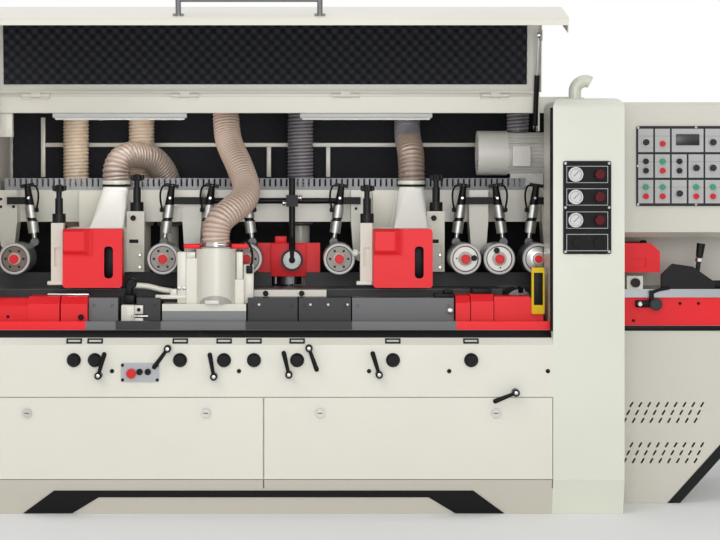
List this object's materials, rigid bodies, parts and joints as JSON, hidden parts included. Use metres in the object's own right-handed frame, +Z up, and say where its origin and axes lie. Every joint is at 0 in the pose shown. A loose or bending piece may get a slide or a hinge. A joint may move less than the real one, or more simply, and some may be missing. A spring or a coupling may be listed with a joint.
{
  "type": "four sided moulder",
  "caption": "Four sided moulder: a long bed with feed rollers and enclosed cutter heads under a lifting sound hood, with extraction hoses, a control column and an infeed table.",
  "frame": {"origin": "on the floor below the middle of the base cabinet", "axes": "+X along the bed from outfeed to infeed, -Y towards the operator, +Z up"},
  "size_m": [3.48, 1.6377, 2.1329],
  "materials": {
    "cream_paint": "satin powder coat",
    "column_paint": "satin powder coat",
    "red_paint": "gloss paint",
    "black_paint": "satin black",
    "cast_grey": "machined and painted casting",
    "steel": "turned",
    "chrome": "polished",
    "silver": "satin",
    "black_plastic": "fine grain",
    "red_plastic": "gloss",
    "grey_plastic": "matt",
    "hose_plastic": "translucent ribbed wall",
    "foam": "egg-crate sound foam"
  },
  "bodies": {
    "frame": {"base_cabinet": "cream_paint", "base_skirt": "black_paint", "service_doors": "cream_paint", "bed_casting": "cast_grey", "bed_covers": "red_paint", "column_cover": "column_paint", "gauge_panel": "black_plastic", "rear_cabinet": "cream_paint", "roller_beam": "cream_paint", "cable_duct": "grey_plastic", "infeed_base": "cream_paint", "control_box": "column_paint", "control_panel": "black_plastic", "infeed_table": "cast_grey", "hold_downs": "black_paint", "feed_motor": "silver", "side_hood": "cream_paint", "extraction_hoses": "hose_plastic", "head_hose_left": "hose_plastic", "head_hose_right": "hose_plastic", "front_knobs": "black_plastic", "press_cylinders": "silver"},
    "lid": {"lid_shell": "cream_paint", "lid_foam": "foam", "lid_handle": "chrome"},
    "gas_tubes": {"gas_spring_tubes": "black_paint"},
    "gas_rods": {"gas_spring_rods": "chrome"},
    "buttons": {"push_buttons": "red_plastic"},
    "head_left": {"top_head_left": "cream_paint", "top_hood_left": "red_paint"},
    "cutter_top_left": {"top_cutter_left": "steel"},
    "head_right": {"top_head_right": "cream_paint", "top_hood_right": "red_paint"},
    "cutter_top_right": {"top_cutter_right": "steel"},
    "bottom_cutter": {"bottom_cutter": "steel"},
    "fence_cutter": {"fence_cutter": "steel"},
    "side_cutter": {"side_cutter": "steel"},
    "hanger_1": {"roller_hanger_1": "cast_grey"},
    "roller_1": {"feed_roller_1": "steel"},
    "hanger_2": {"roller_hanger_2": "cast_grey"},
    "roller_2": {"feed_roller_2": "steel"},
    "hanger_3": {"roller_hanger_3": "cast_grey"},
    "roller_3": {"feed_roller_3": "steel"},
    "hanger_4": {"roller_hanger_4": "cast_grey"},
    "roller_4": {"feed_roller_4": "steel"},
    "hanger_5": {"roller_hanger_5": "cast_grey"},
    "roller_5": {"feed_roller_5": "steel"},
    "hanger_6": {"roller_hanger_6": "cast_grey"},
    "roller_6": {"feed_roller_6": "steel"},
    "hanger_7": {"roller_hanger_7": "cast_grey"},
    "roller_7": {"feed_roller_7": "steel"},
    "hanger_8": {"roller_hanger_8": "cast_grey"},
    "roller_8": {"feed_roller_8": "steel"},
    "lever_1": {"clamp_lever_1": "black_plastic"},
    "lever_2": {"clamp_lever_2": "black_plastic"},
    "lever_3": {"clamp_lever_3": "black_plastic"},
    "lever_4": {"clamp_lever_4": "black_plastic"},
    "lever_5": {"clamp_lever_5": "black_plastic"},
    "lever_6": {"clamp_lever_6": "black_plastic"},
    "lever_7": {"clamp_lever_7": "black_plastic"}
  },
  "joints": [
    {"name": "lid_hinge", "type": "hinge", "parent": "frame", "child": "lid", "pos_m": [0, -0.118, 1.758], "axis": [1, 0, 0], "range_deg": [0, 85.5]},
    {"name": "gas_tube_pivot", "type": "hinge", "parent": "frame", "child": "gas_tubes", "pos_m": [0, -0.1, 1.62], "axis": [1, 0, 0], "range_deg": [0, 63]},
    {"name": "gas_rod_slide", "type": "slide", "parent": "gas_tubes", "child": "gas_rods", "axis": [0, -0.3311, 0.9436], "range_m": [-0.134, 0]},
    {"name": "button_press", "type": "slide", "parent": "frame", "child": "buttons", "axis": [0, 1, 0], "range_m": [0, 0.003], "stiffness_N_per_m": 2000},
    {"name": "head_left_height", "type": "slide", "parent": "frame", "child": "head_left", "axis": [0, 0, 1], "range_m": [0, 0.05], "deforming": ["head_hose_left"]},
    {"name": "cutter_top_left_spin", "type": "hinge", "parent": "head_left", "child": "cutter_top_left", "pos_m": [-0.731, 0, 1.046], "axis": [0, 1, 0], "continuous": true},
    {"name": "head_right_height", "type": "slide", "parent": "frame", "child": "head_right", "axis": [0, 0, 1], "range_m": [0, 0.05], "deforming": ["head_hose_right"]},
    {"name": "cutter_top_right_spin", "type": "hinge", "parent": "head_right", "child": "cutter_top_right", "pos_m": [0.588, 0, 1.046], "axis": [0, 1, 0], "continuous": true},
    {"name": "bottom_cutter_spin", "type": "hinge", "parent": "frame", "child": "bottom_cutter", "pos_m": [1.094, 0, 0.86], "axis": [0, 1, 0], "continuous": true},
    {"name": "fence_cutter_spin", "type": "hinge", "parent": "frame", "child": "fence_cutter", "pos_m": [0.1, 0.097, 0.95], "axis": [0, 0, 1], "continuous": true},
    {"name": "side_cutter_spin", "type": "hinge", "parent": "frame", "child": "side_cutter", "pos_m": [-0.206, -0.299, 0.95], "axis": [0, 0, 1], "continuous": true},
    {"name": "hanger_1_lift", "type": "slide", "parent": "frame", "child": "hanger_1", "axis": [-0.1392, 0, 0.9903], "range_m": [0, 0.018]},
    {"name": "roller_1_spin", "type": "hinge", "parent": "hanger_1", "child": "roller_1", "pos_m": [-1.08, 0, 1.049], "axis": [0, 1, 0], "continuous": true},
    {"name": "hanger_2_lift", "type": "slide", "parent": "frame", "child": "hanger_2", "axis": [0.1392, 0, 0.9903], "range_m": [0, 0.018]},
    {"name": "roller_2_spin", "type": "hinge", "parent": "hanger_2", "child": "roller_2", "pos_m": [-0.44, 0, 1.049], "axis": [0, 1, 0], "continuous": true},
    {"name": "hanger_3_lift", "type": "slide", "parent": "frame", "child": "hanger_3", "axis": [0.1392, 0, 0.9903], "range_m": [0, 0.018]},
    {"name": "roller_3_spin", "type": "hinge", "parent": "hanger_3", "child": "roller_3", "pos_m": [-0.26, 0, 1.049], "axis": [0, 1, 0], "continuous": true},
    {"name": "hanger_4_lift", "type": "slide", "parent": "frame", "child": "hanger_4", "axis": [-0.1392, 0, 0.9903], "range_m": [0, 0.018]},
    {"name": "roller_4_spin", "type": "hinge", "parent": "hanger_4", "child": "roller_4", "pos_m": [-0.08, 0, 1.049], "axis": [0, 1, 0], "continuous": true},
    {"name": "hanger_5_lift", "type": "slide", "parent": "frame", "child": "hanger_5", "axis": [0.1392, 0, 0.9903], "range_m": [0, 0.018]},
    {"name": "roller_5_spin", "type": "hinge", "parent": "hanger_5", "child": "roller_5", "pos_m": [0.32, 0, 1.049], "axis": [0, 1, 0], "continuous": true},
    {"name": "hanger_6_lift", "type": "slide", "parent": "frame", "child": "hanger_6", "axis": [0.1392, 0, 0.9903], "range_m": [0, 0.018]},
    {"name": "roller_6_spin", "type": "hinge", "parent": "hanger_6", "child": "roller_6", "pos_m": [0.864, 0, 1.049], "axis": [0, 1, 0], "continuous": true},
    {"name": "hanger_7_lift", "type": "slide", "parent": "frame", "child": "hanger_7", "axis": [-0.1392, 0, 0.9903], "range_m": [0, 0.018]},
    {"name": "roller_7_spin", "type": "hinge", "parent": "hanger_7", "child": "roller_7", "pos_m": [1.01, 0, 1.049], "axis": [0, 1, 0], "continuous": true},
    {"name": "hanger_8_lift", "type": "slide", "parent": "frame", "child": "hanger_8", "axis": [0.1392, 0, 0.9903], "range_m": [0, 0.018]},
    {"name": "roller_8_spin", "type": "hinge", "parent": "hanger_8", "child": "roller_8", "pos_m": [1.178, 0, 1.049], "axis": [0, 1, 0], "continuous": true},
    {"name": "lever_1_turn", "type": "hinge", "parent": "frame", "child": "lever_1", "pos_m": [-0.682, -0.55, 0.581], "axis": [0, 1, 0], "range_deg": [-35, 35]},
    {"name": "lever_2_turn", "type": "hinge", "parent": "frame", "child": "lever_2", "pos_m": [-0.396, -0.55, 0.692], "axis": [0, 1, 0], "range_deg": [-35, 35]},
    {"name": "lever_3_turn", "type": "hinge", "parent": "frame", "child": "lever_3", "pos_m": [-0.205, -0.55, 0.577], "axis": [0, 1, 0], "range_deg": [-35, 35]},
    {"name": "lever_4_turn", "type": "hinge", "parent": "frame", "child": "lever_4", "pos_m": [0.105, -0.55, 0.585], "axis": [0, 1, 0], "range_deg": [-35, 35]},
    {"name": "lever_5_turn", "type": "hinge", "parent": "frame", "child": "lever_5", "pos_m": [0.188, -0.55, 0.694], "axis": [0, 1, 0], "range_deg": [-35, 35]},
    {"name": "lever_6_turn", "type": "hinge", "parent": "frame", "child": "lever_6", "pos_m": [0.478, -0.55, 0.585], "axis": [0, 1, 0], "range_deg": [-35, 35]},
    {"name": "lever_7_turn", "type": "hinge", "parent": "frame", "child": "lever_7", "pos_m": [1.042, -0.55, 0.511], "axis": [0, 1, 0], "range_deg": [-35, 35]}
  ],
  "couplings": [
    {"joint": "gas_tube_pivot", "follows": "lid_hinge", "ratio": 0.7345},
    {"joint": "gas_rod_slide", "follows": "lid_hinge", "m_per_rad": -0.0885},
    {"joint": "roller_2_spin", "follows": "roller_1_spin", "ratio": 1},
    {"joint": "roller_3_spin", "follows": "roller_1_spin", "ratio": 1},
    {"joint": "roller_4_spin", "follows": "roller_1_spin", "ratio": 1},
    {"joint": "roller_5_spin", "follows": "roller_1_spin", "ratio": 1},
    {"joint": "roller_6_spin", "follows": "roller_1_spin", "ratio": 1},
    {"joint": "roller_7_spin", "follows": "roller_1_spin", "ratio": 1},
    {"joint": "roller_8_spin", "follows": "roller_1_spin", "ratio": 1}
  ]
}
